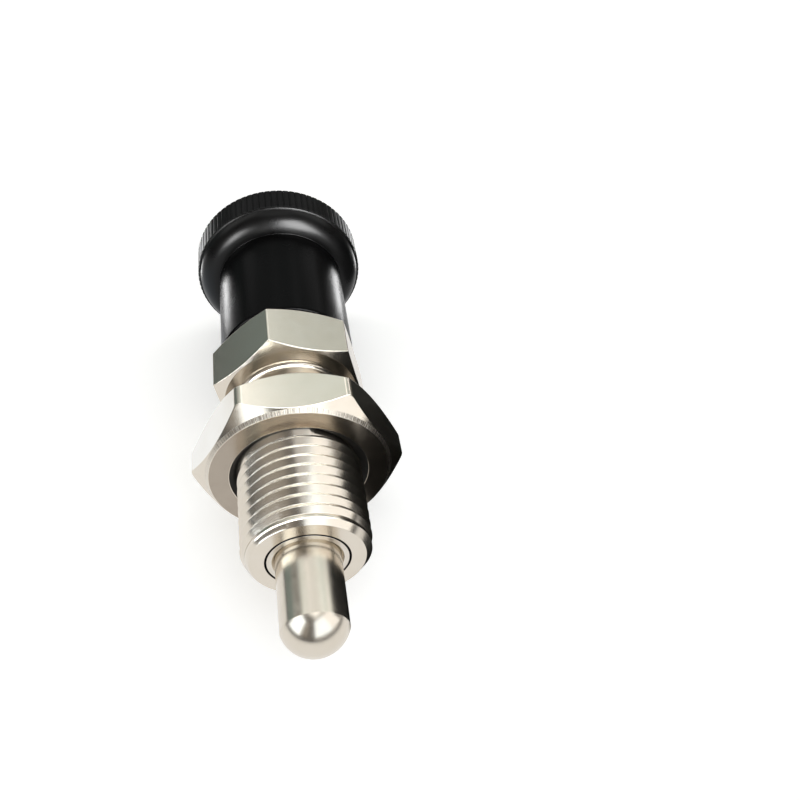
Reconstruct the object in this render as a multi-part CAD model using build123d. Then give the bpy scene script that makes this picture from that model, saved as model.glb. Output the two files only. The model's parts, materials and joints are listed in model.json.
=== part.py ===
from build123d import *

import os
from math import atan, cos, degrees, radians, sin, sqrt, tan

# Indexing plunger: a spring-loaded locking pin in an M16 x 1.5 threaded body with a hexagon,
# pulled back by a knurled mushroom knob, and fixed by a hexagon lock nut.
# All lengths are in mm. Each piece is drawn about the Z axis in stations, which run back from
# the body's front face at station 0, and is then laid down as the plunger comes to rest:
# on one flat of the lock nut and on the knob's rim, with the pin towards -Y.

# ---- Threaded body -------------------------------------------------------------------------
thread_diameter = 16.0
thread_pitch = 1.5
thread_length = 21.6
lead_in = 1.0
relief_diameter = 13.7
relief_length = 5.2
relief_chamfer = 0.8
body_across_flats = 19.0
body_hex_length = 8.0
body_ring_inset = 0.3
body_chamfer_angle = 26.0
body_hex_turn = 16.6
boss_diameter = 14.0
boss_length = 11.2
boss_chamfer = 0.5
chamber_diameter = 10.4
chamber_depth = 40.0

# ---- Guide bush, pressed into the mouth of the spring chamber ---------------------------------
bush_length = 8.0
bush_mouth_chamfer = 0.3
bush_gap_width = 0.15
bush_gap_depth = 0.8

# ---- Plunger pin, one turned piece: nose, shoulder, rod and threaded tail -----------------------
pin_diameter = 8.0
pin_reach = 12.3
nose_radius = 4.2
shoulder_length = 3.0
shoulder_chamfer = 0.3
rod_diameter = 6.0
tail_diameter = 5.0
tail_length = 8.0

# ---- Compression spring ------------------------------------------------------------------------
wire_diameter = 0.9
coil_mean_diameter = 8.4
coil_pitch = 4.6
wire_sides = 6

# ---- Knob and its threaded insert ----------------------------------------------------------------
knob_diameter = 25.5
neck_diameter = 19.0
neck_edge_round = 0.4
crease_station = 52.6
underside_depth = 2.23
rim_chamfer = 0.35
rim_length = 4.25
back_bevel_width = 1.5
back_bevel_height = 0.75
knurl_teeth = 84
knurl_depth = 0.3
knurl_angle = 90.0
insert_diameter = 8.4
insert_length = 9.0
insert_groove_depth = 0.5
insert_groove_width = 2.5

# ---- Lock nut --------------------------------------------------------------------------------------
nut_across_flats = 24.0
nut_thickness = 7.0
nut_station = 13.2
nut_ring_inset = 0.45
nut_chamfer_angle = 35.0
nut_corner_round = 1.2
nut_mouth_diameter = 17.9

# ---- Clearances --------------------------------------------------------------------------------------
pin_clearance = 0.03        # radial, locking pin in the guide bush
shoulder_clearance = 0.08   # radial, shoulder in the spring chamber
rod_clearance = 0.05        # radial, rod in the chamber's rear wall
thread_clearance = 0.05     # radial, lock nut on the body's thread
tail_clearance = 0.03       # radial, insert on the thread of the pin's tail
skirt_clearance = 0.3       # radial, knob's skirt round the body's boss
knob_gap = 0.3              # between the knob's skirt and the hexagon
boss_end_gap = 1.0          # between the boss and the bottom of the skirt

# ---- Sizes that follow from those above ----------------------------------------------------------------
thread_radius = thread_diameter / 2
pitch_radius = thread_radius - 0.32476 * thread_pitch   # half the ISO metric pitch diameter
relief_radius = relief_diameter / 2
hex_station = thread_length + relief_length
hex_back = hex_station + body_hex_length
boss_end = hex_back + boss_length
chamber_radius = chamber_diameter / 2
pin_radius = pin_diameter / 2
rod_radius = rod_diameter / 2
shoulder_back = bush_length + shoulder_length
knob_radius = knob_diameter / 2
skirt_front = hex_back + knob_gap
skirt_bottom = boss_end + boss_end_gap
underside_end_radius = knob_radius - rim_chamfer
underside_width = underside_end_radius - neck_diameter / 2
underside_radius = (underside_width ** 2 + underside_depth ** 2) / (2 * underside_depth)
rim_front = crease_station + underside_depth + rim_chamfer
rim_back = rim_front + rim_length
knob_back = rim_back + back_bevel_height
nut_flat_radius = nut_across_flats / 2
nut_flat_front = nut_station + nut_ring_inset * tan(radians(nut_chamfer_angle))

# The axis leans by the difference between the two radii that the plunger rests on.
rest_lean = degrees(atan((knob_radius - nut_flat_radius) / (rim_front - nut_flat_front)))
middle_station = (knob_back - pin_reach) / 2
middle_height = knob_radius * cos(radians(rest_lean)) - (rim_front - middle_station) * sin(
    radians(rest_lean))


def turned(outline):
    """Revolve a closed half-section, drawn as (radius, station), about the plunger's axis."""
    return revolve(make_face(Plane.XZ * outline), Axis.Z)


def drum(radius, front, back):
    """A plain cylinder on the axis from one station to another."""
    return Pos(0, 0, front) * Cylinder(
        radius, back - front, align=(Align.CENTER, Align.CENTER, Align.MIN))


def hexagon(across_flats, front, length, ring_inset, chamfer_angle, corner_round, turn):
    """A hexagon on the axis, its corners turned off to a cone at both ends.

    The cone starts on each face at a ring that lies ring_inset inside the flats.
    """
    outline = RegularPolygon(across_flats / 2, 6, major_radius=False, rotation=turn)
    if corner_round:
        outline = fillet(outline.vertices(), corner_round)
    prism = Pos(0, 0, front) * extrude(outline, length)
    ring_radius = across_flats / 2 - ring_inset
    outer_radius = across_flats / sqrt(3) + 1
    fall = (outer_radius - ring_radius) * tan(radians(chamfer_angle))
    blank = turned(Polyline(
        (0, front), (ring_radius, front), (outer_radius, front + fall),
        (outer_radius, front + length - fall), (ring_radius, front + length),
        (0, front + length), (0, front)))
    return prism & blank


def make_body():
    """Threaded shank, hexagon and rear boss, bored for the spring from the front.

    The thread is drawn at its outer diameter where it is free, and at its pitch diameter where
    the lock nut is screwed on, so the two meshed threads do not cut into each other.
    """
    nut_back = nut_station + nut_thickness
    run_out = thread_radius - relief_radius
    shank = turned(Polyline(
        (0, 0), (thread_radius - lead_in, 0), (thread_radius, lead_in),
        (thread_radius, nut_station), (pitch_radius, nut_station), (pitch_radius, nut_back),
        (thread_radius, nut_back), (thread_radius, thread_length),
        (relief_radius, thread_length + run_out), (relief_radius, hex_station - relief_chamfer),
        (relief_radius + relief_chamfer, hex_station), (0, hex_station), (0, 0)))
    head = hexagon(body_across_flats, hex_station, body_hex_length, body_ring_inset,
                   body_chamfer_angle, 0, body_hex_turn)
    boss = turned(Polyline(
        (0, hex_back), (boss_diameter / 2, hex_back), (boss_diameter / 2, boss_end - boss_chamfer),
        (boss_diameter / 2 - boss_chamfer, boss_end), (0, boss_end), (0, hex_back)))
    bore = drum(chamber_radius, 0, chamber_depth)
    rod_bore = drum(rod_radius + rod_clearance, chamber_depth, boss_end)
    return shank + head + boss - bore - rod_bore


def make_guide_bush():
    """Hardened bush that closes the spring chamber and guides the pin, flush with the front.

    Its front end is turned down a little, which leaves the fine ring gap in the front face.
    """
    bore_radius = pin_radius + pin_clearance
    spigot_radius = chamber_radius - bush_gap_width
    return turned(Polyline(
        (bore_radius + bush_mouth_chamfer, 0), (spigot_radius, 0),
        (spigot_radius, bush_gap_depth), (chamber_radius, bush_gap_depth + bush_gap_width),
        (chamber_radius, bush_length), (bore_radius, bush_length),
        (bore_radius, bush_mouth_chamfer), (bore_radius + bush_mouth_chamfer, 0)))


def make_plunger_pin():
    """Locking pin with a ball nose that meets the shank at a visible edge."""
    nose_centre = nose_radius - pin_reach
    nose_edge = nose_centre - sqrt(nose_radius ** 2 - pin_radius ** 2)
    half_angle = atan(pin_radius / (nose_centre - nose_edge)) / 2
    shoulder_radius = chamber_radius - shoulder_clearance
    tail_radius = tail_diameter / 2
    return turned(
        ThreePointArc(
            (0, -pin_reach),
            (nose_radius * sin(half_angle), nose_centre - nose_radius * cos(half_angle)),
            (pin_radius, nose_edge))
        + Polyline(
            (pin_radius, nose_edge), (pin_radius, bush_length), (shoulder_radius, bush_length),
            (shoulder_radius, shoulder_back - shoulder_chamfer),
            (shoulder_radius - shoulder_chamfer, shoulder_back), (rod_radius, shoulder_back),
            (rod_radius, skirt_bottom), (tail_radius, skirt_bottom),
            (tail_radius, skirt_bottom + tail_length), (0, skirt_bottom + tail_length),
            (0, -pin_reach)))


def make_spring():
    """Compression spring from the pin's shoulder to the chamber's end, both ends ground flat."""
    free_length = chamber_depth - shoulder_back
    coil_radius = coil_mean_diameter / 2
    wire_radius = wire_diameter / 2
    path = Helix(coil_pitch, free_length + wire_diameter, coil_radius)
    section = Plane(origin=path @ 0, z_dir=path % 0) * RegularPolygon(wire_radius, wire_sides)
    coil = sweep(section, path, is_frenet=True)
    slab = drum(coil_radius + wire_diameter, shoulder_back, chamber_depth)
    return (Pos(0, 0, shoulder_back - wire_radius) * coil) & slab


def insert_outline():
    """Half-section of the insert's outside, with the groove that the knob is moulded into."""
    outer = insert_diameter / 2
    inner = outer - insert_groove_depth
    insert_back = skirt_bottom + insert_length
    groove_front = skirt_bottom + (insert_length - insert_groove_width) / 2
    groove_back = groove_front + insert_groove_width
    return Polyline(
        (0, skirt_bottom), (outer, skirt_bottom), (outer, groove_front), (inner, groove_front),
        (inner, groove_back), (outer, groove_back), (outer, insert_back), (0, insert_back),
        (0, skirt_bottom))


def make_knob_insert():
    """Brass threaded insert in the knob, screwed onto the tail of the pin."""
    thread_bore = drum(tail_diameter / 2 + tail_clearance, skirt_bottom,
                       skirt_bottom + insert_length)
    return turned(insert_outline()) - thread_bore


def make_knob():
    """Moulded mushroom knob with a long skirt over the boss and a straight-knurled rim."""
    neck_radius = neck_diameter / 2
    half_sweep = atan(underside_depth / underside_width)
    underside_middle = (neck_radius + underside_radius * sin(half_sweep),
                        crease_station + underside_radius * (1 - cos(half_sweep)))
    underside_end = (underside_end_radius, rim_front - rim_chamfer)
    land_edge = knob_radius - knurl_depth
    blank = turned(
        Polyline(
            (0, skirt_front), (neck_radius - neck_edge_round, skirt_front),
            (neck_radius, skirt_front + neck_edge_round), (neck_radius, crease_station))
        + ThreePointArc((neck_radius, crease_station), underside_middle, underside_end)
        + Polyline(
            underside_end, (knob_radius, rim_front), (knob_radius, rim_back),
            (land_edge, rim_back), (land_edge - back_bevel_width, knob_back), (0, knob_back),
            (0, skirt_front)))
    skirt_bore = drum(boss_diameter / 2 + skirt_clearance, skirt_front, skirt_bottom)
    half_width = knurl_depth * tan(radians(knurl_angle / 2))
    groove = Pos(knob_radius, 0, rim_front - rim_chamfer) * extrude(
        make_face(Polyline((-knurl_depth, 0), (knurl_depth, 2 * half_width),
                           (knurl_depth, -2 * half_width), (-knurl_depth, 0))),
        rim_chamfer + rim_length)
    first_groove = 90 + 180 / knurl_teeth
    grooves = [Rot(0, 0, first_groove + 360 * n / knurl_teeth) * groove
               for n in range(knurl_teeth)]
    return blank - skirt_bore - turned(insert_outline()) - grooves


def make_lock_nut():
    """Hexagon lock nut with rounded corners, coned at both faces and countersunk."""
    bore_radius = pitch_radius + thread_clearance
    mouth_radius = nut_mouth_diameter / 2
    mouth_depth = mouth_radius - bore_radius
    nut_back = nut_station + nut_thickness
    bore = turned(Polyline(
        (0, nut_station), (mouth_radius, nut_station), (bore_radius, nut_station + mouth_depth),
        (bore_radius, nut_back - mouth_depth), (mouth_radius, nut_back), (0, nut_back),
        (0, nut_station)))
    return hexagon(nut_across_flats, nut_station, nut_thickness, nut_ring_inset,
                   nut_chamfer_angle, nut_corner_round, 0) - bore


def laid_down(shape):
    """Tip a piece from the upright stations onto the floor, pin towards -Y, leaning to rest."""
    return Pos(0, 0, middle_height) * Rot(rest_lean - 90, 0, 0) * Pos(0, 0, -middle_station) * shape


pieces = {
    "body": make_body,
    "guide_bush": make_guide_bush,
    "plunger_pin": make_plunger_pin,
    "spring": make_spring,
    "knob_insert": make_knob_insert,
    "knob": make_knob,
    "lock_nut": make_lock_nut,
}

os.makedirs("parts", exist_ok=True)
for name, make in pieces.items():
    export_step(laid_down(make()), f"parts/{name}.step")
print(f"rest lean {rest_lean:.4f} deg, axis height at the middle {middle_height:.4f} mm")
print(f"stations: middle {middle_station:.4f}, knob {skirt_front:.3f} to {knob_back:.3f}")
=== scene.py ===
import json
import bmesh
import bpy
import numpy as np
from mathutils import Matrix


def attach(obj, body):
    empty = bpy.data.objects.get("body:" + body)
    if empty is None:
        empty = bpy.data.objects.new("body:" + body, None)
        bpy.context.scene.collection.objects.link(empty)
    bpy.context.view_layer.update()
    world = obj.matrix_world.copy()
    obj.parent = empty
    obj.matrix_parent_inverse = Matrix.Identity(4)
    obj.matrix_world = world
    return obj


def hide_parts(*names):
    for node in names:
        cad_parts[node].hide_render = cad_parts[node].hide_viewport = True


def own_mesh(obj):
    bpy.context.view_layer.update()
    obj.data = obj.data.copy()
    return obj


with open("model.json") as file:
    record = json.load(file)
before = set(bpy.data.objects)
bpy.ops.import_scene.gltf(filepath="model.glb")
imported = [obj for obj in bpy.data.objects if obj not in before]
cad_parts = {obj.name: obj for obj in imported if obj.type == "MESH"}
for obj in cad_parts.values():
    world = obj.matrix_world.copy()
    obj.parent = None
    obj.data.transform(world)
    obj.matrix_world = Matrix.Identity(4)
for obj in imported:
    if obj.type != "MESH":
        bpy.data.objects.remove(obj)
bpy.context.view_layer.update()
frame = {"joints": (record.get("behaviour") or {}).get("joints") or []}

# ==== Threaded body ==========================================================================
# One bar of free-cutting steel, turned, thread-rolled and bored, with a milled 19 mm hexagon,
# then bright nickel plated. The bush is pressed into its mouth and everything else is carried
# in its bore or on its thread.

MM = 0.001

joints = {joint["name"]: joint for joint in frame["joints"]}
along = np.array(joints["pin_pull"]["axis"], float)
along = along / np.linalg.norm(along)
aside = np.array([1.0, 0.0, 0.0])
above = np.array([0.0, -along[2], along[1]])
front_centre = np.array(joints["pin_turn"]["pos_m"], float)


def laid_down(radius, station, angle):
    """Points in the frame from radius, station and angle in mm, mm and radians.

    Point = front centre + station * axis + radius * (cos(angle) * aside + sin(angle) * above).
    """
    radius, station, angle = np.broadcast_arrays(radius, station, angle)
    return front_centre + MM * (
        station[..., None] * along + (radius * np.cos(angle))[..., None] * aside
        + (radius * np.sin(angle))[..., None] * above)


def rounded(corners, radii, steps=4, guard=0.02):
    """Half-section with each inner corner replaced by an arc that touches both its sides.

    An arc of radius r in a corner of half angle h starts r / tan(h) along each side, about a
    centre r / sin(h) along the bisector. A guard point just before and after each arc keeps
    the shading of the sides flat. corners is (..., n, 2) and radii has the n - 2 inner ones.
    A half angle is held a little under 90 degrees, where the bisector is lost.
    """
    widest_half = np.radians(89.99)
    corners = np.asarray(corners, float)
    radii = np.asarray(radii, float)
    here = corners[..., 1:-1, :]
    back = corners[..., :-2, :] - here
    ahead = corners[..., 2:, :] - here
    back_length = np.linalg.norm(back, axis=-1, keepdims=True)
    ahead_length = np.linalg.norm(ahead, axis=-1, keepdims=True)
    back, ahead = back / back_length, ahead / ahead_length
    half = np.arccos(np.clip((back * ahead).sum(-1), -1, 1)) / 2
    half = np.minimum(half, widest_half)
    start = (radii / np.tan(half))[..., None]
    bisector = back + ahead
    bisector = bisector / np.maximum(np.linalg.norm(bisector, axis=-1, keepdims=True), 1e-12)
    centre = here + bisector * (radii / np.sin(half))[..., None]
    first, last = here + back * start - centre, here + ahead * start - centre
    turn = (np.pi - 2 * half)[..., None, None]
    share = np.linspace(0, 1, steps + 1)[:, None]
    from_first = np.sin((1 - share) * turn) * first[..., None, :]
    from_last = np.sin(share * turn) * last[..., None, :]
    arc = centre[..., None, :] + (from_first + from_last) / np.sin(turn)
    before = (here + back * (start + guard))[..., None, :]
    after = (here + ahead * (start + guard))[..., None, :]
    filled = np.concatenate([before, arc, after], axis=-2)
    filled = filled.reshape(*filled.shape[:-3], -1, 2)
    return np.concatenate([corners[..., :1, :], filled, corners[..., -1:, :]], axis=-2)


def ring_quads(rows, columns, first=0):
    """Quads of a grid of rows by columns whose last column joins its first."""
    row = np.arange(rows - 1)[:, None] * columns + first
    column = np.arange(columns)[None, :]
    following = (column + 1) % columns
    return np.stack([row + column, row + following, row + columns + following,
                     row + columns + column], -1).reshape(-1, 4)


def new_piece(name, patches, weld=2e-7, sliver=1e-8):
    """One mesh object from patches of (points, faces), welded where they meet, faces outwards.

    Points closer than weld are joined and edges shorter than sliver are closed up, in metres.
    """
    points = np.concatenate([patch[0].reshape(-1, 3) for patch in patches])
    starts = np.cumsum([0] + [patch[0].reshape(-1, 3).shape[0] for patch in patches[:-1]])
    faces = np.concatenate([patch[1] + start for patch, start in zip(patches, starts)])
    mesh = bpy.data.meshes.new(name)
    mesh.from_pydata(points.tolist(), [], faces.tolist())
    shell = bmesh.new()
    shell.from_mesh(mesh)
    bmesh.ops.remove_doubles(shell, verts=shell.verts, dist=weld)
    bmesh.ops.dissolve_degenerate(shell, edges=shell.edges, dist=sliver)
    bmesh.ops.recalc_face_normals(shell, faces=shell.faces)
    shell.to_mesh(mesh)
    shell.free()
    mesh.shade_smooth()
    piece = bpy.data.objects.new(name, mesh)
    bpy.context.scene.collection.objects.link(piece)
    return piece


def turned(section, angles):
    """Surface swept by a half-section of (radius, station) points about the plunger's axis.

    Point(row, column) = laid_down(radius[row], station[row], angle[column]).
    """
    section = np.asarray(section, float)
    return (laid_down(section[:, 0][:, None], section[:, 1][:, None], angles[None, :]),
            ring_quads(len(section), len(angles)))


def hexagon_angles(corner_angle, corner_reach, steps, fill):
    """Column angles round a hexagon: steps across each corner's arc, and fill between corners.

    corner_reach is the polar angle from a corner to the end of its arc.
    """
    across = np.linspace(-corner_reach, corner_reach, steps + 1)
    share = (1 - np.cos(np.linspace(0, np.pi, fill + 2)[1:-1])) / 2
    between = corner_reach + share * (np.radians(60) - 2 * corner_reach)
    one = np.concatenate([across, between])
    whole = corner_angle + one[None, :] + np.radians(60) * np.arange(6)[:, None]
    return whole.reshape(-1)


def hexagon_reach(flat_radius, corner_radius):
    """Polar angle from a corner to where its arc of corner_radius meets the flat."""
    arc_centre = (flat_radius - corner_radius) / np.cos(np.radians(30))
    return np.arctan2(corner_radius * np.sin(np.radians(30)),
                      arc_centre + corner_radius * np.cos(np.radians(30)))


def hexagon_radius(angles, corner_angle, flat_radius, corner_radius):
    """Polar radius of a hexagon with rounded corners.

    On a flat it is flat_radius / cos(angle from the flat's middle); on a corner's arc, with its
    centre c out, it is c * cos(d) + sqrt(r^2 - (c * sin(d))^2) at the angle d from the corner.
    """
    sixth = np.radians(60)
    off = (angles - corner_angle + sixth / 2) % sixth - sixth / 2
    arc_centre = (flat_radius - corner_radius) / np.cos(sixth / 2)
    flat = flat_radius / np.cos(sixth / 2 - np.abs(off))
    inside = np.maximum(corner_radius ** 2 - (arc_centre * np.sin(off)) ** 2, 0)
    arc = arc_centre * np.cos(off) + np.sqrt(inside)
    return np.where(np.abs(off) < hexagon_reach(flat_radius, corner_radius), arc, flat)


def hexagon_block(angles, corner_angle, flat_radius, corner_radius, front, back, ring_inset,
                  rim_width, rim_slope, cone_slope, edge_radius, rim_radius=0.03):
    """Outside of a chamfered hexagon between two face rings, one rounded section per column.

    Each column runs from the front ring out along a narrow rim and the cone, down the flat and
    back in. The cone meets the flat where it has fallen by rim_width * rim_slope + cone_slope *
    (polar radius - ring radius - rim_width). Also gives the radius where the face rings start.
    """
    ring = flat_radius - ring_inset
    reach = hexagon_radius(angles, corner_angle, flat_radius, corner_radius)
    same = np.ones_like(reach)
    rim_fall = rim_width * rim_slope
    fall = rim_fall + (reach - ring - rim_width) * cone_slope
    inner = ring - 4 * edge_radius
    section = np.stack([
        np.stack([inner * same, front * same], -1),
        np.stack([ring * same, front * same], -1),
        np.stack([(ring + rim_width) * same, (front + rim_fall) * same], -1),
        np.stack([reach, front + fall], -1),
        np.stack([reach, back - fall], -1),
        np.stack([(ring + rim_width) * same, (back - rim_fall) * same], -1),
        np.stack([ring * same, back * same], -1),
        np.stack([inner * same, back * same], -1)], axis=1)
    section = rounded(section, [edge_radius / 2, rim_radius, edge_radius, edge_radius,
                                rim_radius, edge_radius / 2])
    points = laid_down(section[..., 0].T, section[..., 1].T, angles[None, :])
    return points, ring_quads(points.shape[0], points.shape[1]), inner


# Radii, and stations from the front face towards the knob, in mm here and in every section.
thread_radius = 8.0
thread_pitch = 1.5
thread_depth = 0.54
flank_angle = np.radians(52)
thread_crest_at_top = 0.54
lead_radius = thread_radius - 1.0
thread_back = 21.6
relief_radius, relief_chamfer = 6.85, 0.8
pitch_radius = 7.513
nut_front, nut_back = 13.2, 20.2
meshed_front, meshed_back = 14.25, 19.15
hex_front, hex_back = 26.8, 34.8
hex_corner_angle = np.radians(103.4)
hex_flat, hex_corner_radius, hex_edge_radius = 9.5, 0.25, 0.18
hex_ring_inset, hex_rim, hex_slope = 0.3, 0.15, np.tan(np.radians(26))
boss_radius, boss_back, boss_chamfer = 7.0, 46.0, 0.5
chamber_radius, chamber_back = 5.2, 40.0
rod_hole_radius = 3.05

root_radius = thread_radius - thread_depth
lead_slope, lead_lip = 0.85, 0.04
lead_end = (root_radius - lead_radius) / lead_slope - lead_lip
run_out_end = thread_back + thread_depth
step_slope = 3


def one_thread(crest_half=0.022, crest_round=0.03, root_round=0.06):
    """Half of one rounded thread, as (pitches from the crest's middle, radius) points.

    From the crest the flank falls by thread_depth over thread_depth * tan(flank angle).
    """
    flank = thread_depth * np.tan(flank_angle)
    half = rounded([
        (0, thread_radius), (crest_half, thread_radius), (crest_half + flank, root_radius),
        (thread_pitch / 2, root_radius)], [crest_round, root_round], steps=3, guard=0.01)
    return half[:, 0] / thread_pitch, half[:, 1]


half_phase, half_radius = one_thread()
outline_phase = np.concatenate([half_phase, 1 - half_phase[-2::-1]])
outline_radius = np.concatenate([half_radius, half_radius[-2::-1]])


def thread_band(angles, front, back, envelope):
    """Helical band of right-hand thread between two stations, cut off by an outer envelope.

    Row m of turn k at column angle a lies at station = start + pitch * (k + phase of row m
    - a / 2 pi), so the rows follow the crest and the last column joins the first one turn
    further back. Stations are held between front and back, and the radius is the lesser of the
    thread's and the envelope's.
    """
    columns, turn_rows = len(angles), len(outline_phase) - 1
    turn = (angles - angles[0]) / (2 * np.pi)
    crest = thread_crest_at_top - thread_pitch * (angles[0] - np.pi / 2) / (2 * np.pi)
    start = crest + thread_pitch * (np.floor((front - crest) / thread_pitch) - 1)
    turns = int(np.ceil((back - front) / thread_pitch)) + 4
    rows = turns * turn_rows
    phase = (np.arange(turns)[:, None] + outline_phase[None, :-1]).reshape(-1, 1)
    held = np.clip(start + thread_pitch * (phase - turn[None, :]), front, back)
    here = (held - crest) / thread_pitch + turn[None, :]
    radius = np.interp(here % 1, outline_phase, outline_radius)
    radius = np.minimum(radius, envelope(held))
    inner = ring_quads(rows, columns).reshape(rows - 1, columns, 4)[:, :-1].reshape(-1, 4)
    late = np.arange(turn_rows, rows - 1) * columns
    early = late - turn_rows * columns
    seam = np.stack([late + columns - 1, early, early + columns, late + 2 * columns - 1], -1)
    return laid_down(radius, held, angles[None, :]), np.concatenate([inner, seam])


def lead_in_cone(station):
    """Lead-in cone at the front, and a short step down inside the lock nut at the back.

    Radius = the lesser of lead radius + slope * station and root + 3 * distance to the nut.
    """
    return np.minimum(lead_radius + lead_slope * station,
                      root_radius + step_slope * (meshed_front - station))


def run_out_cone(station):
    """Short step up inside the lock nut at the front, and the 45 degree run-out at the back.

    Radius = the lesser of root + 3 * distance from the nut and root + distance to the end.
    """
    return np.minimum(root_radius + step_slope * (station - meshed_back),
                      root_radius + run_out_end - station)


body_angles = hexagon_angles(
    hex_corner_angle, hexagon_reach(hex_flat, hex_corner_radius), steps=6, fill=31)
block_points, block_faces, hex_ring_inner = hexagon_block(
    body_angles, hex_corner_angle, hex_flat, hex_corner_radius, hex_front, hex_back,
    hex_ring_inset, hex_rim, hex_slope, hex_slope, hex_edge_radius)
bore_seam = boss_back - 0.3
mouth_section = rounded([
    (rod_hole_radius, bore_seam), (rod_hole_radius, chamber_back),
    (chamber_radius, chamber_back), (chamber_radius, 0), (lead_radius, 0),
    (lead_radius + lead_slope * lead_end, lead_end)], [0.1, 0.1, 0.04, 0.03])
meshed_section = [(root_radius, meshed_front), (pitch_radius, meshed_front),
                  (pitch_radius, meshed_back), (root_radius, meshed_back)]
relief_section = rounded([
    (root_radius, run_out_end), (relief_radius, run_out_end + root_radius - relief_radius),
    (relief_radius, hex_front), (hex_ring_inner, hex_front)], [0.1, relief_chamfer], steps=8)
boss_section = rounded([
    (hex_ring_inner, hex_back), (boss_radius, hex_back), (boss_radius, boss_back - boss_chamfer),
    (boss_radius - boss_chamfer, boss_back), (rod_hole_radius, boss_back),
    (rod_hole_radius, bore_seam)], [0.1, 0.05, 0.05, 0.05])
body = new_piece("threaded_body", [
    turned(mouth_section, body_angles),
    thread_band(body_angles, lead_end, meshed_front, lead_in_cone),
    turned(meshed_section, body_angles),
    thread_band(body_angles, meshed_back, run_out_end, run_out_cone),
    turned(relief_section, body_angles),
    (block_points, block_faces),
    turned(boss_section, body_angles)])


def finish_of(name, colour, roughness, metallic=1.0):
    """A new material with its main shader set, and its two helpers.

    add makes a node and fills its inputs by name, or by number where a name starts with _;
    to_shader links a socket to the main shader.
    """
    material = bpy.data.materials.new(name)
    material.use_nodes = True
    tree = material.node_tree
    shader = tree.nodes["Principled BSDF"]
    shader.inputs["Base Color"].default_value = (*colour, 1)
    shader.inputs["Roughness"].default_value = roughness
    shader.inputs["Metallic"].default_value = metallic

    def add(kind, settings=None, **inputs):
        node = tree.nodes.new("ShaderNode" + kind)
        for key, value in (settings or {}).items():
            setattr(node, key, value)
        for key, value in inputs.items():
            socket = node.inputs[int(key[1:]) if key[0] == "_" else key.replace("_", " ")]
            if isinstance(value, bpy.types.NodeSocket):
                tree.links.new(value, socket)
            else:
                socket.default_value = value
        return node

    def to_shader(socket, name):
        tree.links.new(socket, shader.inputs[name])

    return material, add, to_shader


tilt = np.arctan2(along[2], along[1])
upright = np.array([[1, 0, 0], [0, np.cos(tilt), np.sin(tilt)], [0, -np.sin(tilt), np.cos(tilt)]])


def lathe_position(add):
    """Sockets of a point's distance from the plunger's axis, its station and its angle."""
    turned_level = add("Mapping", Vector=add("TexCoord").outputs["Object"], Rotation=(-tilt, 0, 0),
                       Location=tuple(-upright @ front_centre)).outputs[0]
    parts = add("SeparateXYZ", Vector=turned_level)
    across = add("CombineXYZ", X=parts.outputs["X"], Y=parts.outputs["Z"]).outputs[0]
    radius = add("VectorMath", {"operation": "LENGTH"}, _0=across).outputs["Value"]
    angle = add("Math", {"operation": "ARCTAN2"}, _0=parts.outputs["Z"], _1=parts.outputs["X"])
    return radius, parts.outputs["Y"], angle.outputs[0]


def turning_marks(add, to_shader, per_mm, depth, grain):
    """Bump the normal with fine grooves that run round the axis, and with a little grain.

    Height = noise(distance from the axis, station) * depth, with per_mm grooves to a
    millimetre, plus grain * fine noise in space.
    """
    radius, station = lathe_position(add)[:2]
    groove = add("TexNoise", {"noise_dimensions": "2D"}, Scale=per_mm / MM, Detail=2.0,
                 Vector=add("CombineXYZ", X=radius, Y=station).outputs[0]).outputs["Fac"]
    speck = add("TexNoise", Vector=add("TexCoord").outputs["Object"], Scale=5200.0, Detail=3.0)
    height = add("Math", {"operation": "MULTIPLY_ADD"}, _0=speck.outputs["Fac"], _1=grain,
                 _2=groove)
    dent = add("Bump", Strength=1.0, Distance=depth, Height=height.outputs[0])
    to_shader(dent.outputs["Normal"], "Normal")


def plated(name, colour, shade, rough, per_mm, depth, grain):
    """Plated steel: two close tones and a roughness that drift in clouds, and turning marks."""
    material, add, to_shader = finish_of(name, colour, rough)
    where = add("TexCoord").outputs["Object"]
    cloud = add("TexNoise", Vector=where, Scale=330.0, Detail=5.0, Roughness=0.6).outputs["Fac"]
    share = add("MapRange", Value=cloud, From_Min=0.35, From_Max=0.65).outputs["Result"]
    tone = add("MixRGB", _0=share, _1=(*colour, 1), _2=(*shade, 1)).outputs[0]
    to_shader(tone, "Base Color")
    smear = add("TexNoise", Vector=where, Scale=900.0, Detail=3.0, Roughness=0.7).outputs["Fac"]
    polish = add("MapRange", Value=smear, From_Min=0.3, From_Max=0.7, To_Min=rough * 0.88,
                 To_Max=rough * 1.14)
    to_shader(polish.outputs["Result"], "Roughness")
    turning_marks(add, to_shader, per_mm, depth, grain)
    return material


nickel_colour, nickel_shade = (0.75, 0.69, 0.6), (0.73, 0.665, 0.57)
nickel = plated("bright_nickel_plate", nickel_colour, nickel_shade, 0.19, 7.0, 2.2e-6, 0.5)

# how far past a surface its faces are looked for
skin = 0.02


def give(piece, slot, low_radius, high_radius, front, back):
    """Give a material slot to the faces whose middles lie between two radii and two stations."""
    count = len(piece.data.polygons)
    centre = np.empty(count * 3)
    piece.data.polygons.foreach_get("center", centre)
    offset = centre.reshape(-1, 3) - front_centre
    station = offset @ along / MM
    radius = np.linalg.norm(offset - np.outer(station * MM, along), axis=1) / MM
    inside = (radius > low_radius) & (radius < high_radius) & (station > front) & (station < back)
    slots = np.empty(count, np.int32)
    piece.data.polygons.foreach_get("material_index", slots)
    piece.data.polygons.foreach_set("material_index", np.where(inside, slot, slots))


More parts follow.
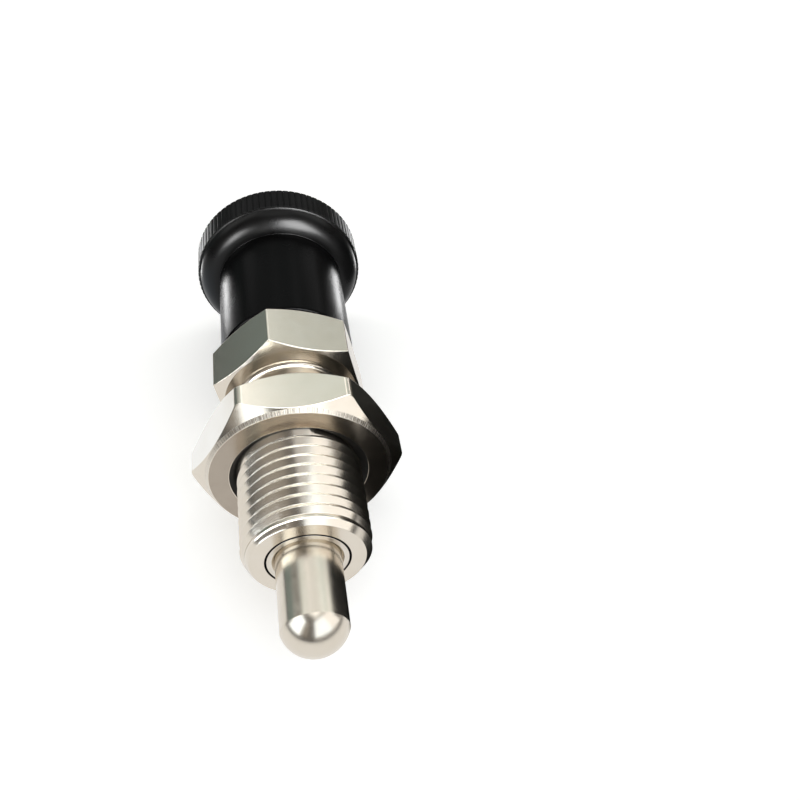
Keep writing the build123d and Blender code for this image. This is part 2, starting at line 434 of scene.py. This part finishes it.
# painted shade: a near-black finish, mottled at random, standing in for the shade in the body's
# chamber, in the gap round the bush and in the nut's bore
painted_gap_shade, add, to_shader = finish_of("painted_gap_shade", (0.012, 0.011, 0.01), 0.6, 0.0)
gap_mottle = add("TexNoise", Vector=add("TexCoord").outputs["Object"], Scale=1500.0, Detail=3.0)
tone = add("MixRGB", _0=gap_mottle.outputs["Fac"], _1=(0.007, 0.006, 0.006, 1),
           _2=(0.02, 0.018, 0.016, 1))
to_shader(tone.outputs[0], "Base Color")
body.data.materials.append(nickel)
body.data.materials.append(painted_gap_shade)
# painted shade on the walls of the chamber behind the front face, where the gap round the bush
# lies in shade
give(body, 1, rod_hole_radius + 0.05, chamber_radius + skin, skin, chamber_back)
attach(body, "housing")
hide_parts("body")

# ==== Guide bush ==============================================================================
# A short hardened sleeve, ground in its bore and pressed into the body's mouth until it stands
# flush. Its front end is turned down a quarter of a millimetre all round, which leaves a fine gap
# in the front face; the gap's walls carry a near-black painted shade, which makes the dark ring.

bush_back, bush_bore = 8.0, 4.03
bush_mouth, spigot_radius, spigot_back = 0.3, 4.94, 0.8
bush_middle = bush_back / 2
turn_columns = 240
turn_angles = np.linspace(0, 2 * np.pi, turn_columns, endpoint=False)
bush_loop = rounded([
    (bush_bore, bush_middle), (bush_bore, bush_mouth), (bush_bore + bush_mouth, 0),
    (spigot_radius, 0), (spigot_radius, spigot_back),
    (chamber_radius, spigot_back + chamber_radius - spigot_radius), (chamber_radius, bush_back),
    (bush_bore, bush_back), (bush_bore, bush_middle)], [0.05, 0.04, 0.04, 0.03, 0.03, 0.1, 0.1])
bush = new_piece("guide_sleeve", [turned(bush_loop, turn_angles)])
hardened = plated("ground_hardened_steel", (0.73, 0.68, 0.6), (0.69, 0.63, 0.55), 0.23, 12.0,
                  1.2e-6, 0.8)
bush.data.materials.append(hardened)
bush.data.materials.append(painted_gap_shade)
# painted shade on the bush's turned-down front, inside the gap in the front face
give(bush, 1, spigot_radius - skin, chamber_radius + skin, skin, bush_back)
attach(bush, "housing")
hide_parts("guide_bush")

# ==== Locking pin =============================================================================
# One turned, hardened and ground piece, nickel plated: a ball nose that meets the 8 mm shank at
# a fine edge, a collar for the spring, a 6 mm rod and a threaded tail inside the knob.

pin_radius, pin_reach, nose_radius = 4.0, 12.3, 4.2
collar_radius, collar_back = 5.12, 11.0
rod_radius, rod_back = 3.0, 47.0
tail_radius, tail_back = 2.5, 55.0
nose_turn = np.linspace(0, np.arcsin(pin_radius / nose_radius), 40)
nose_section = np.stack([nose_radius * np.sin(nose_turn),
                         nose_radius - pin_reach - nose_radius * np.cos(nose_turn)], -1)
shank_section = rounded([
    nose_section[-2], nose_section[-1], (pin_radius, bush_back), (collar_radius, bush_back),
    (collar_radius, collar_back), (rod_radius, collar_back), (rod_radius, rod_back),
    (tail_radius, rod_back), (tail_radius, tail_back), (0, tail_back)],
    [0.06, 0.1, 0.1, 0.3, 0.1, 0.1, 0.05, 0.3])
pin = new_piece("ball_nosed_pin", [
    turned(np.concatenate([nose_section[:-1], shank_section[1:]]), turn_angles)])
ground = plated("ground_nickel_plate", nickel_colour, nickel_shade, 0.23, 16.0, 1.0e-6, 1.2)
pin.data.materials.append(ground)
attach(pin, "plunger")
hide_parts("plunger_pin")

# ==== Compression spring =======================================================================
# Cold-coiled 0.9 mm spring wire, ground flat at both ends, between the pin's collar and the
# rear wall of the chamber. It is pressed towards that wall as the pin is pulled back.

wire_radius, coil_radius, coil_pitch = 0.45, 4.2, 4.6


def coiled_wire(front, back, rows_per_turn=48, columns=16):
    """Round wire on a helix: the middle of row t is at station s0 + pitch * t, angle -2 pi t.

    Point = middle + wire radius * (cos(w) * outwards + sin(w) * square to that and the helix).
    Stations are held between front and back, as if ground, and both ends close on their middle.
    """
    turns = (back - front + 2 * wire_radius) / coil_pitch
    rows = int(turns * rows_per_turn) + 3
    share = np.concatenate([[0], np.linspace(0, turns, rows - 2), [turns]])
    wire = np.full(rows, wire_radius)
    wire[[0, -1]] = 0
    lead = np.arctan2(coil_pitch, 2 * np.pi * coil_radius)
    around = np.linspace(0, 2 * np.pi, columns, endpoint=False)[None, :]
    outward = wire[:, None] * np.cos(around)
    across = wire[:, None] * np.sin(around)
    angle = -2 * np.pi * share[:, None] + across * np.sin(lead) / coil_radius
    station = front - wire_radius + coil_pitch * share[:, None] + across * np.cos(lead)
    points = laid_down(coil_radius + outward, np.clip(station, front, back), angle)
    return points, ring_quads(rows, columns)


spring = new_piece("coil_spring", [coiled_wire(collar_back, chamber_back)])
spring_wire, add, to_shader = finish_of("oiled_spring_wire", (0.4, 0.39, 0.38), 0.28)
where = add("TexCoord").outputs["Object"]
oil = add("TexNoise", Vector=where, Scale=800.0, Detail=4.0, Roughness=0.65).outputs["Fac"]
film = add("MapRange", Value=oil, From_Min=0.35, From_Max=0.65, To_Min=0.16, To_Max=0.4)
to_shader(film.outputs["Result"], "Roughness")
tone = add("MixRGB", _0=oil, _1=(0.3, 0.28, 0.26, 1), _2=(0.5, 0.49, 0.48, 1))
to_shader(tone.outputs[0], "Base Color")
drawn = add("TexNoise", Vector=where, Scale=7000.0, Detail=2.0).outputs["Fac"]
dent = add("Bump", Strength=0.3, Distance=0.00001, Height=drawn)
to_shader(dent.outputs["Normal"], "Normal")
spring.data.materials.append(spring_wire)
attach(spring, "spring_body")
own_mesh(spring)
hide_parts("spring")

# ==== Threaded insert ==========================================================================
# A turned brass insert with a holding groove, moulded into the knob so that it can't be pulled
# out, and screwed onto the pin's threaded tail.

insert_radius, insert_back, insert_groove = 4.2, 56.0, 3.7
groove_front, groove_back = 50.25, 52.75
insert_bore, insert_middle = tail_radius + 0.03, 50.0
insert_outside = [(insert_radius, rod_back), (insert_radius, groove_front),
                  (insert_groove, groove_front), (insert_groove, groove_back),
                  (insert_radius, groove_back), (insert_radius, insert_back)]
insert = new_piece("brass_insert", [turned(
    [(insert_bore, insert_middle), (insert_bore, rod_back)] + insert_outside
    + [(insert_bore, insert_back), (insert_bore, insert_middle)], turn_angles)])
brass = plated("turned_brass", (0.8, 0.62, 0.33), (0.7, 0.5, 0.24), 0.25, 6.0, 3.0e-6, 0.4)
insert.data.materials.append(brass)
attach(insert, "plunger")
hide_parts("knob_insert")

# ==== Knob =====================================================================================
# One injection moulding in black glass-filled nylon: a satin neck over the body's boss, a rounded
# and polished shoulder that ends in a fine bead, and 84 straight grooves round a duller,
# spark-eroded rim.

knob_front, neck_radius, crease = 35.1, 9.5, 52.6
skirt_radius, skirt_back = 7.3, rod_back - 3
knob_radius, knob_back = 12.75, 60.18
rim_chamfer, rim_front, rim_back = 0.35, 55.18, 59.43
underside_depth, bevel_width = 2.23, 1.5
bead_width, bead_height, bead_drop = 0.2, 0.03, 0.08
knurl_teeth, knurl_depth = 84, 0.17

# columns across one groove and up to the next, in degrees from the groove's middle
tooth = 2 * np.pi / knurl_teeth
tooth_columns = np.radians([-0.85, -0.7, -0.4, -0.12, 0.12, 0.4, 0.7, 0.85, 1.45, 2.1429, 2.83])
knob_angles = (-np.pi / 2 + tooth * (np.arange(knurl_teeth)[:, None] + 0.5)
               + tooth_columns[None, :]).reshape(-1)


def knurl_radius(angles):
    """Radius of the bottom of a 90 degree V groove, softened over a fifth of a degree.

    At an angle d from the groove's middle the V is at root / (cos(d) - |sin(d)|).
    """
    spread = np.radians(np.linspace(-0.1, 0.1, 9))
    off = (angles[..., None] + spread + np.pi / 2) % tooth - tooth / 2
    return ((knob_radius - knurl_depth) / (np.cos(off) - np.abs(np.sin(off)))).mean(-1)


underside_width = knob_radius - rim_chamfer - neck_radius
underside_radius = (underside_width ** 2 + underside_depth ** 2) / (2 * underside_depth)
underside_turn = np.linspace(0, 2 * np.arctan2(underside_depth, underside_width), 24)
underside = np.stack([neck_radius + underside_radius * np.sin(underside_turn),
                      crease + underside_radius * (1 - np.cos(underside_turn))], -1)
neck_section = rounded([
    (skirt_radius, skirt_back), (skirt_radius, knob_front), (neck_radius, knob_front),
    (neck_radius, crease), underside[1]], [0.25, 0.4, 0.05])
bead = underside[-1] + np.array([bead_width, bead_height])
rim_section = rounded([
    underside[-2], underside[-1], bead, (knob_radius, rim_front - bead_drop),
    (knob_radius, rim_back), (knob_radius - knurl_depth, rim_back),
    (knob_radius - knurl_depth - bevel_width, knob_back), (0, knob_back)],
    [0.03, 0.3, 0.22, 0.12, 0.1, 0.5])
knob_section = np.concatenate([neck_section[:-1], underside[1:-1], rim_section[1:]])
knob_rows = np.minimum(knob_section[:, 0][:, None], knurl_radius(knob_angles)[None, :])
knob_outside = laid_down(knob_rows, knob_section[:, 1][:, None], knob_angles[None, :])
socket_section = [(0, insert_back)] + insert_outside[::-1] + [
    (skirt_radius, rod_back), (skirt_radius, skirt_back)]
knob = new_piece("mushroom_knob", [
    (knob_outside, ring_quads(len(knob_section), len(knob_angles))),
    turned(socket_section, knob_angles)])


def moulded(name, specular, smooth, matt, depth):
    """Black nylon as the mould left it: a roughness between smooth and matt, and a fine grain."""
    material, add, to_shader = finish_of(name, (0.004, 0.004, 0.0042), smooth, 0.0)
    shader = material.node_tree.nodes["Principled BSDF"]
    shader.inputs["Specular IOR Level"].default_value = specular
    where = add("TexCoord").outputs["Object"]
    cloud = add("TexNoise", Vector=where, Scale=260.0, Detail=3.0).outputs["Fac"]
    rough = add("MapRange", Value=cloud, From_Min=0.3, From_Max=0.7, To_Min=smooth, To_Max=matt)
    to_shader(rough.outputs["Result"], "Roughness")
    grain = add("TexNoise", Vector=where, Scale=3800.0, Detail=2.0).outputs["Fac"]
    dent = add("Bump", Strength=0.25, Distance=depth, Height=grain)
    to_shader(dent.outputs["Normal"], "Normal")
    return material


knob.data.materials.append(moulded("black_moulded_nylon", 0.03, 0.22, 0.28, 0.00002))
knob.data.materials.append(moulded("polished_black_nylon", 0.19, 0.27, 0.32, 0.00001))
knob.data.materials.append(moulded("eroded_black_nylon", 0.045, 0.36, 0.46, 0.00003))
give(knob, 1, neck_radius, knob_radius, crease - 0.2, rim_front)
give(knob, 2, knob_radius - 2 * knurl_depth, knob_radius + 1, rim_front - skin, knob_back)
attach(knob, "plunger")
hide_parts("knob")

# ==== Lock nut =================================================================================
# A thin hexagon nut of 24 mm across flats, cold formed, so its corners are well rounded. Both
# faces are turned to a cone and countersunk at the thread, then it is nickel plated.

nut_flat, nut_corner_radius, nut_edge_radius = 12.0, 1.2, 0.2
nut_ring_inset, nut_rim = 0.45, 0.38
nut_rim_slope, nut_slope = np.tan(np.radians(53)), np.tan(np.radians(40.5))
nut_bore, nut_mouth = pitch_radius + 0.05, 8.95

nut_angles = hexagon_angles(0.0, hexagon_reach(nut_flat, nut_corner_radius), steps=14, fill=27)
nut_points, nut_faces, nut_ring_inner = hexagon_block(
    nut_angles, 0.0, nut_flat, nut_corner_radius, nut_front, nut_back, nut_ring_inset, nut_rim,
    nut_rim_slope, nut_slope, nut_edge_radius)
sink = nut_mouth - nut_bore
nut_bore_section = rounded([
    (nut_ring_inner, nut_front), (nut_mouth, nut_front), (nut_bore, nut_front + sink),
    (nut_bore, nut_back - sink), (nut_mouth, nut_back), (nut_ring_inner, nut_back)],
    [0.08, 0.05, 0.05, 0.08])
nut = new_piece("hexagon_lock_nut", [
    (nut_points, nut_faces), turned(nut_bore_section, nut_angles)])
# painted shade: the nut's two face rings get a darker copy of the nickel plate
shaded_face_plate = plated("face_rings_painted_shade", (0.43, 0.375, 0.31), (0.4, 0.345, 0.285), 0.22, 7.0,
                     1.2e-6, 0.1)
chattered, add, to_shader = finish_of("chattered_rim_nickel", nickel_colour, 0.26)
angle = lathe_position(add)[2]
tick = add("TexNoise", {"noise_dimensions": "1D"}, W=angle, Scale=95.0, Detail=1.0).outputs["Fac"]
dent = add("Bump", Strength=1.0, Distance=0.00004, Height=tick)
to_shader(dent.outputs["Normal"], "Normal")
polish = add("MapRange", Value=tick, From_Min=0.3, From_Max=0.7, To_Min=0.2, To_Max=0.34)
to_shader(polish.outputs["Result"], "Roughness")
for finish in (nickel, painted_gap_shade, shaded_face_plate, chattered):
    nut.data.materials.append(finish)
ring_edge, rim_fall = nut_flat - nut_ring_inset, nut_rim * nut_rim_slope
rim_inside, rim_outside = ring_edge - skin, ring_edge + nut_rim + skin
ring_inside, ring_outside = nut_mouth + 0.05, ring_edge - 0.08
give(nut, 3, rim_inside, rim_outside, nut_front + 0.03, nut_front + rim_fall + 0.01)
give(nut, 3, rim_inside, rim_outside, nut_back - rim_fall - 0.01, nut_back - 0.03)
# painted shade in the nut's bore, where it lies in shade round the thread
give(nut, 1, nut_bore - 0.1, nut_mouth - skin, nut_front + skin, nut_back - skin)
# painted shade: the darker copy of the plate on both face rings
give(nut, 2, ring_inside, ring_outside, nut_front - skin, nut_front + skin)
give(nut, 2, ring_inside, ring_outside, nut_back - skin, nut_back + skin)
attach(nut, "nut")
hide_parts("lock_nut")

# ==== Floor, light and camera ====================================================================
# White paper in a white room. Softboxes in front, beside and above draw the bright bands on the
# metal, and four more those on the black knob. The room's panels give the softer tones, and a
# black card on the right, which only reflections see, gives the dark bands. For reflections the
# paper glows as a painted reflection with a painted shadow beside the thread, and where the card's
# sides reach the floor they are painted shade too.

floor_half = 4
floor_mesh = bpy.data.meshes.new("floor")
floor_mesh.from_pydata([(-floor_half, -floor_half, 0), (floor_half, -floor_half, 0),
                        (floor_half, floor_half, 0), (-floor_half, floor_half, 0)], [],
                       [(0, 1, 2, 3)])
floor = bpy.data.objects.new("floor", floor_mesh)
bpy.context.scene.collection.objects.link(floor)
paper, add, to_shader = finish_of("white_paper", (0.93, 0.93, 0.93), 0.9, 0.0)
spot = add("TexCoord").outputs["Object"]


def paper_ramp(distance, near, far, near_value, far_value):
    """Smooth step from near_value to far_value between two distances on the paper, in metres."""
    return add("MapRange", {"interpolation_type": "SMOOTHSTEP"}, Value=distance, From_Min=near,
               From_Max=far, To_Min=near_value, To_Max=far_value).outputs["Result"]


def paper_distance(x, y):
    """Distance of a point of the paper from the place x, y, in metres."""
    return add("VectorMath", {"operation": "DISTANCE"}, _0=spot, _1=(x, y, 0.0)).outputs["Value"]


# what the metal sees of the paper is a painted reflection that glows for reflections only: bright
# near it and dim further off, a painted cooler, brighter light on the left of the knob's neck, and
# a painted shadow close to the thread on the right
away = add("VectorMath", {"operation": "LENGTH"}, _0=spot).outputs["Value"]
painted_reflection_fade = paper_ramp(away, 0.09, 0.16, 0.97, 0.06)
painted_cool_light = paper_ramp(paper_distance(-0.035, 0.021), 0.012, 0.026, 1.0, 0.0)
painted_light_tint = add("MixRGB", _0=painted_cool_light, _1=(1, 1, 1, 1), _2=(1.2, 1.28, 1.38, 1)).outputs[0]
# painted shadow: the paper's reflection goes dark close to the thread on the right
shade = paper_ramp(paper_distance(0.013, -0.021), 0.0055, 0.0105, 0.0, 1.0)
reflected_light = add("Math", {"operation": "MULTIPLY"}, _0=painted_reflection_fade, _1=shade).outputs[0]
reflected_paper = add("Emission", Color=painted_light_tint, Strength=reflected_light)
# what the camera sees of the paper: the plunger's shadow, lifted by a glow
ray = add("LightPath")
glow = add("Math", {"operation": "MULTIPLY"}, _0=ray.outputs["Is Camera Ray"], _1=0.42)
paper_tree = paper.node_tree
glowing_paper = add("AddShader", _0=paper_tree.nodes["Principled BSDF"].outputs["BSDF"],
                    _1=add("Emission", Strength=glow.outputs[0]).outputs[0])
shown = add("MixShader", _0=ray.outputs["Is Glossy Ray"], _1=glowing_paper.outputs[0],
            _2=reflected_paper.outputs[0])
paper_tree.links.new(shown.outputs[0], paper_tree.nodes["Material Output"].inputs["Surface"])
floor_mesh.materials.append(paper)

# The black card stands on a line beside the plunger. Each row of it is an arch of card_radius on
# two straight sides that reach down to the floor, at card_share of the way along the line.
card_line = np.array([[0.0171, -0.0239], [0.0404, 0.036]])
card_way = card_line[1] - card_line[0]
card_side = np.array([card_way[1], -card_way[0]]) / np.linalg.norm(card_way)
card_share = np.array([0, 0, 0.22, 0.22, 0.36, 0.36, 1.0, 1.0])
card_radius = MM * np.array([0, 8, 8, 12.3, 12.3, 9.8, 9.8, 0])[:, None]
arch_height, foot_height = 0.0125, 3e-4
arch = np.linspace(0, np.pi, 25)[None, :]
# painted shadow: at the floor the card's sides spread out wider, a dark sheet, seen only in
# reflections, where the paper beside the thread lies in shade
skirt = card_radius * 1.35
foot = 0 * skirt + foot_height
card_across = np.concatenate([card_radius * np.cos(arch), -skirt, skirt], axis=1)
card_height = np.concatenate([arch_height + card_radius * np.sin(arch), foot, foot], axis=1)
card_plan = (card_line[0] + card_share[:, None, None] * card_way
             + card_across[..., None] * card_side)
card_points = np.concatenate([card_plan, card_height[..., None]], -1)
card = new_piece("black_card", [(card_points, ring_quads(*card_height.shape))])
black_card, add, to_shader = finish_of("black_card", (0.004, 0.004, 0.004), 1.0, 0.0)
card.data.materials.append(black_card)
for sees in ("visible_camera", "visible_diffuse", "visible_shadow", "visible_transmission"):
    setattr(card, sees, False)

sky = bpy.data.worlds.new("studio")
bpy.context.scene.world = sky
sky.use_nodes = True
sky_tree = sky.node_tree


def sky_node(kind, *inputs, **settings):
    """One node of the studio's light, with its inputs given in order."""
    node = sky_tree.nodes.new("ShaderNode" + kind)
    for key, value in settings.items():
        setattr(node, key, value)
    for socket, value in zip(node.inputs, inputs):
        if isinstance(value, bpy.types.NodeSocket):
            sky_tree.links.new(value, socket)
        elif value is not None:
            socket.default_value = value
    return node


def maths(operation, *inputs):
    """Output of one maths node."""
    return sky_node("Math", *inputs, operation=operation).outputs[0]


def panel_edge(distance, half, soft):
    """1 within half of a panel's middle, 0 outside it, with an edge that is soft degrees wide."""
    return sky_node("MapRange", distance, half - soft / 2, half + soft / 2, 1.0, 0.0,
                    interpolation_type="SMOOTHSTEP").outputs[0]


direction = sky_node("SeparateXYZ", sky_node("TexCoord").outputs["Generated"])
bearing = maths("DEGREES", maths("ARCTAN2", direction.outputs[0],
                                 maths("MULTIPLY", direction.outputs[1], -1.0)))
height = maths("DEGREES", maths("ARCSINE", direction.outputs[2]))

# name; bearing of the middle, from the pin's side towards the right, half width and soft edge;
# height of the middle, half height and soft edge, all in degrees; light
panels = [
    ("above", 0, 181, 1, 90, 18, 12, (1.3, 1.3, 1.27)),
    ("behind left", -150, 34, 30, 80, 31, 22, (0.85, 0.92, 0.89)),
    ("behind", 168, 52, 30, 75, 46, 34, (0.82, 0.9, 0.87)),
    ("behind high", 180, 60, 20, 75, 23, 8, (0.94, 0.93, 0.91)),
    ("upper left", -115, 24, 12, 58, 9, 8, (1.7, 1.7, 1.66)),
    ("upper right", 115, 24, 12, 58, 9, 8, (1.7, 1.7, 1.66)),
    ("left", -103, 16, 12, 36, 14, 8, (1.7, 1.7, 1.66)),
    ("right", 107, 20, 12, 40, 13, 8, (1.7, 1.7, 1.66)),
    ("front left", -43, 19, 12, 29, 22, 14, (0.34, 0.31, 0.275)),
    ("low left", -145, 42, 20, 8, 16, 16, (0.21, 0.26, 0.25)),
    ("low right", 50, 52, 24, 0, 6, 6, (0.62, 0.6, 0.57)),
    ("low behind", 180, 35, 20, 17, 7, 6, (1.6, 1.6, 1.6)),
    ("dark gap left", -137, 7, 5, 12, 3, 3, (0.01, 0.01, 0.01)),
    ("strip low right", 138, 5, 3, 18, 3, 3, (2.2, 2.2, 2.2)),
    ("strip behind left", -171, 6, 4, 47, 5, 4, (2.2, 2.2, 2.2)),
    ("strip behind right", 159, 4, 3, 41, 6, 4, (2.0, 2.0, 2.0)),
]
room_light = (0.16, 0.15, 0.14, 1)
light = room_light
for name, middle, half, edge, level, tall, level_edge, colour in panels:
    turn = maths("PINGPONG", maths("SUBTRACT", bearing, float(middle)), 180.0)
    across = panel_edge(turn, half, edge)
    upward = panel_edge(maths("ABSOLUTE", maths("SUBTRACT", height, float(level))), tall,
                        level_edge)
    mixed = sky_node("MixRGB", maths("MULTIPLY", across, upward), light, (*colour, 1))
    mixed.label = name
    light = mixed.outputs[0]
room = sky_node("Background", light, 1.0)
white_backdrop = sky_node("Background", (1, 1, 1, 1), 1.0)
seen = sky_node("MixShader", sky_node("LightPath").outputs["Is Camera Ray"], room.outputs[0],
                white_backdrop.outputs[0])
sky_tree.links.new(seen.outputs[0], sky_tree.nodes["World Output"].inputs["Surface"])


def softbox(name, low_left, low_right, high_left, light, colour):
    """A rectangular lamp given by three of its corners in mm, as seen from the object.

    Its side is made square to its foot. A radiance of light needs light * area * pi watts.
    """
    low_left, low_right, high_left = np.array([low_left, low_right, high_left], float)
    wide, rise = low_right - low_left, high_left - low_left
    width = np.linalg.norm(wide)
    wide = wide / width
    rise = rise - (rise @ wide) * wide
    tall = np.linalg.norm(rise)
    rise = rise / tall
    lamp = bpy.data.lights.new(name, "AREA")
    lamp.shape, lamp.color = "RECTANGLE", colour
    lamp.size, lamp.size_y = width * MM, tall * MM
    lamp.energy = light * width * tall * MM * MM * np.pi
    frame_of_lamp = np.eye(4)
    frame_of_lamp[:3, 0], frame_of_lamp[:3, 1] = wide, rise
    frame_of_lamp[:3, 2] = np.cross(wide, rise)
    frame_of_lamp[:3, 3] = (low_left + (width * wide + tall * rise) / 2) * MM
    stand = bpy.data.objects.new(name, lamp)
    stand.matrix_world = Matrix(frame_of_lamp.tolist())
    stand.visible_camera = False
    bpy.context.scene.collection.objects.link(stand)
    return stand


def lights_only(lamp, pieces):
    """Let a lamp reach only these pieces, and only in their reflections."""
    lit = bpy.data.collections.new(lamp.name + "_lights")
    for piece in pieces:
        lit.objects.link(piece)
    lamp.light_linking.receiver_collection = lit
    lamp.visible_diffuse = False


neutral, cool = (1, 1, 1), (0.85, 0.93, 1.0)
# name; lower left, lower right and upper left corner in mm; light; colour; the pieces it reaches,
# or everything where there are none
softboxes = [
    ("left softbox", (-30, -35, 16), (-24, -57, 16), (-30, -35, 54), 1.9, cool,
     (pin, bush, nut)),
    ("left slanted softbox", (-30.9, -31.7, 14.8), (-28.1, -42.1, 7.5), (-25.8, -50.2, 42.9),
     3.2, cool, (body,)),
    ("right softbox", (-2, -80, 19), (28, -56, 19), (-2, -80, 76), 1.65, cool, ()),
    ("right softbox side", (28, -56, 19), (50, -38, 19), (28, -56, 76), 1.2, neutral, ()),
    ("right softbox top", (-2, -80, 76), (50, -38, 76), (-9.5, -70.7, 150), 0.5, neutral, ()),
    ("nut light", (-2, -82, 76), (50, -40, 76), (-9.5, -72.7, 150), 1.65, neutral, (nut,)),
    ("overhead strip", (-70, -23, 80), (70, -23, 80), (-70, -8, 80), 8.0, cool, (body, nut)),
    ("side strip", (-70, -8, 12), (-70, -23, 12), (-70, -8, 80), 8.0, cool, (body,)),
    ("knob light left", (-71, -36, 20), (-52, -63, 20), (-71, -36, 62), 29.0, neutral, (knob,)),
    ("knob light right", (11, -72, 20), (57, -43, 20), (11, -72, 110), 35.0, neutral, (knob,)),
    ("knob edge left", (-28, 78, 0.2), (-28, 42, 0.2), (-28, 78, 9.2), 14.0, neutral, (knob,)),
    ("knob edge right", (28, 42, 0.2), (28, 78, 0.2), (28, 42, 9.2), 14.0, neutral, (knob,)),
]
for name, low_left, low_right, high_left, light, colour, pieces in softboxes:
    lamp = softbox(name, low_left, low_right, high_left, light, colour)
    if pieces:
        lights_only(lamp, pieces)

frame_width, focal_pixels = 800, 899.643
camera = bpy.data.cameras.new("camera")
camera.sensor_width = 36.0
camera.lens = camera.sensor_width * focal_pixels / frame_width
camera.clip_start = 0.01
eye = bpy.data.objects.new("camera", camera)
bpy.context.scene.collection.objects.link(eye)
# columns: the way to the camera's right, to its top and to its back, and its place in metres
pose = np.eye(4)
pose[:3] = np.array([
    [0.98743501, 0.08369484, -0.13404207, -0.0019700],
    [-0.15397307, 0.70042747, -0.69691725, -0.0866076],
    [0.03555837, 0.70879936, 0.70451336, 0.1007873]])
eye.matrix_world = Matrix(pose.tolist())
bpy.context.scene.camera = eye
bpy.context.scene.view_settings.view_transform = "Standard"
